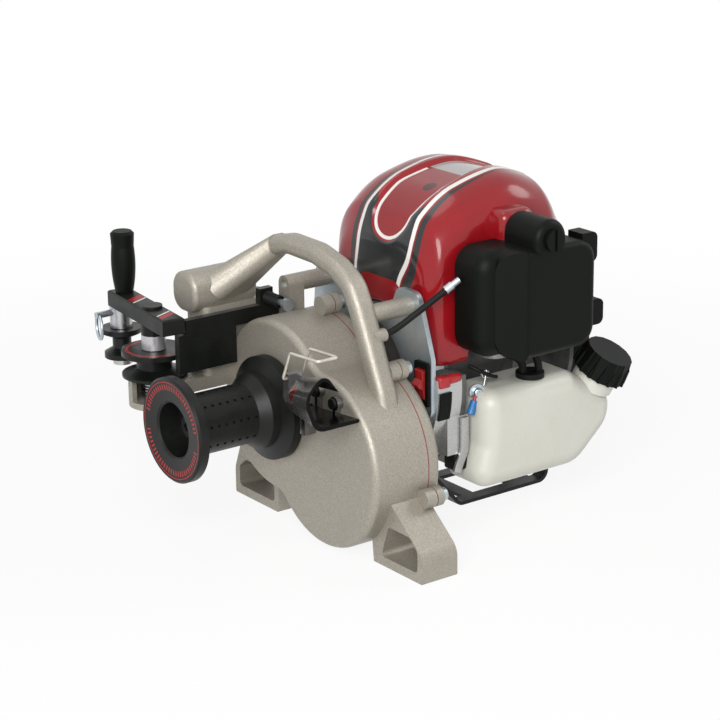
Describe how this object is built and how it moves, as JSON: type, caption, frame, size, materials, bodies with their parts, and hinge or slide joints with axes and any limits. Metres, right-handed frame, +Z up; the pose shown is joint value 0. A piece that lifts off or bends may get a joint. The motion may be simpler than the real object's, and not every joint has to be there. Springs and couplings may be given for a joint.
{
  "type": "forestry capstan winch",
  "caption": "Portable forestry capstan winch: cast gear casing with handle and feet, rope drum, roller arm, rope guide and a small four-stroke engine.",
  "frame": {"origin": "on the ground, midway between the two feet, in the middle of their depth", "axes": "+X right as seen from the drum side, +Y from the drum to the engine, +Z up"},
  "size_m": [0.3178, 0.351, 0.265],
  "materials": {
    "cast_aluminium": "sand-cast, matt",
    "sealant": "matt bead",
    "zinc_fastener": "zinc plated",
    "bearing_steel": "ground",
    "gear_steel": "hobbed and oiled",
    "black_steel": "black satin",
    "drum_black": "black, hard anodised",
    "spool_black": "satin",
    "black_plastic": "fine grained",
    "rubber_black": "matt",
    "clutch_steel": "turned",
    "engine_cast": "die-cast, silver",
    "guide_silver": "die-cast, satin",
    "switch_red": "smooth",
    "shroud_red": "glossy red",
    "tank_white": "milky, slightly see-through",
    "filter_foam": "open foam"
  },
  "bodies": {
    "base": {"front_casing": "cast_aluminium", "rear_cover": "cast_aluminium", "casing_seal": "sealant", "casing_bolts": "zinc_fastener", "shaft_bearings": "bearing_steel", "side_plate": "black_steel", "side_screws": "black_steel", "spring_bolt": "zinc_fastener", "bolt_spring": "black_steel", "pivot_bolt": "bearing_steel", "pivot_bush": "bearing_steel", "lever_spring": "bearing_steel", "rope_guide": "guide_silver", "guide_screws": "black_steel", "engine_plate": "zinc_fastener", "switch_frame": "black_plastic", "plate_bolts": "zinc_fastener", "fan_cover": "engine_cast", "crankcase": "engine_cast", "cylinder": "engine_cast", "shroud": "shroud_red", "recoil_housing": "black_plastic", "starter_grip": "black_plastic", "cleaner_base": "black_plastic", "cleaner_cover": "black_plastic", "filter_element": "filter_foam", "carburettor": "engine_cast", "cam_spring": "bearing_steel", "muffler": "black_steel", "fuel_tank": "tank_white", "tank_grommet": "rubber_black", "fuel_hoses": "rubber_black", "tank_guard": "black_steel", "throttle_cable": "rubber_black", "cable_ferrule": "zinc_fastener", "stop_lead": "rubber_black"},
    "capstan": {"capstan_drum": "drum_black", "drum_screw": "black_steel", "output_shaft": "bearing_steel", "output_wheel": "gear_steel"},
    "countershaft": {"layshaft": "bearing_steel", "layshaft_wheel": "gear_steel"},
    "input": {"input_shaft": "bearing_steel", "clutch_bell": "clutch_steel"},
    "crank": {"crankshaft": "bearing_steel", "flywheel": "engine_cast", "clutch_shoes": "clutch_steel"},
    "lever": {"lever_bar": "black_steel", "lever_grip": "black_plastic", "far_axle": "bearing_steel", "far_bush": "bearing_steel"},
    "near_roller": {"near_spool": "spool_black"},
    "far_roller": {"far_spool": "spool_black"},
    "pin": {"lock_pin": "zinc_fastener", "pull_ring": "zinc_fastener"},
    "gate": {"wire_gate": "zinc_fastener"},
    "knob": {"cover_knob": "black_plastic"},
    "cap": {"fuel_cap": "black_plastic"},
    "throttle": {"throttle_cam": "bearing_steel"},
    "rocker": {"switch_rocker": "switch_red"}
  },
  "joints": [
    {"name": "capstan_spin", "type": "hinge", "parent": "base", "child": "capstan", "pos_m": [-0.04098, -0.04, 0.09642], "axis": [0, 1, 0], "continuous": true},
    {"name": "countershaft_spin", "type": "hinge", "parent": "base", "child": "countershaft", "pos_m": [0.0195, 0, 0.07], "axis": [0, 1, 0], "continuous": true},
    {"name": "input_spin", "type": "hinge", "parent": "base", "child": "input", "pos_m": [-0.017, 0.03, 0.11572], "axis": [0, 1, 0], "continuous": true},
    {"name": "crank_spin", "type": "hinge", "parent": "base", "child": "crank", "pos_m": [-0.017, 0.11, 0.11572], "axis": [0, 1, 0], "continuous": true},
    {"name": "lever_swing", "type": "hinge", "parent": "base", "child": "lever", "pos_m": [-0.123, -0.085, 0.158], "axis": [0, 0, 1], "range_deg": [-40, 0], "stiffness_Nm_per_rad": 0.4, "springref_deg": 20.05},
    {"name": "near_spool_spin", "type": "hinge", "parent": "base", "child": "near_roller", "pos_m": [-0.123, -0.085, 0.122], "axis": [0, 0, 1], "continuous": true},
    {"name": "far_spool_spin", "type": "hinge", "parent": "lever", "child": "far_roller", "pos_m": [-0.18201, -0.07817, 0.122], "axis": [0, 0, 1], "continuous": true},
    {"name": "lock_pin_pull", "type": "slide", "parent": "lever", "child": "pin", "axis": [0, -1, 0], "range_m": [0, 0.004], "stiffness_N_per_m": 300, "springref_m": -0.004},
    {"name": "gate_lift", "type": "hinge", "parent": "base", "child": "gate", "pos_m": [0.02, -0.056, 0.14], "axis": [0, -1, 0], "range_deg": [0, 80]},
    {"name": "knob_turn", "type": "hinge", "parent": "base", "child": "knob", "pos_m": [0.1, 0.121, 0.2285], "axis": [1, 0, 0], "continuous": true},
    {"name": "cap_lift", "type": "slide", "parent": "base", "child": "cap", "axis": [0.4201, 0.24, 0.8752], "range_m": [0, 0.04]},
    {"name": "throttle_turn", "type": "hinge", "parent": "base", "child": "throttle", "pos_m": [0.038, 0.1, 0.15], "axis": [0, 1, 0], "range_deg": [0, 70], "stiffness_Nm_per_rad": 0.02, "springref_deg": -34.38},
    {"name": "switch_rock", "type": "hinge", "parent": "base", "child": "rocker", "pos_m": [0.049, 0.039, 0.1227], "axis": [1, 0, 0], "range_deg": [-10, 0]}
  ],
  "couplings": [
    {"joint": "countershaft_spin", "follows": "capstan_spin", "ratio": -5},
    {"joint": "input_spin", "follows": "capstan_spin", "ratio": 30.455}
  ]
}
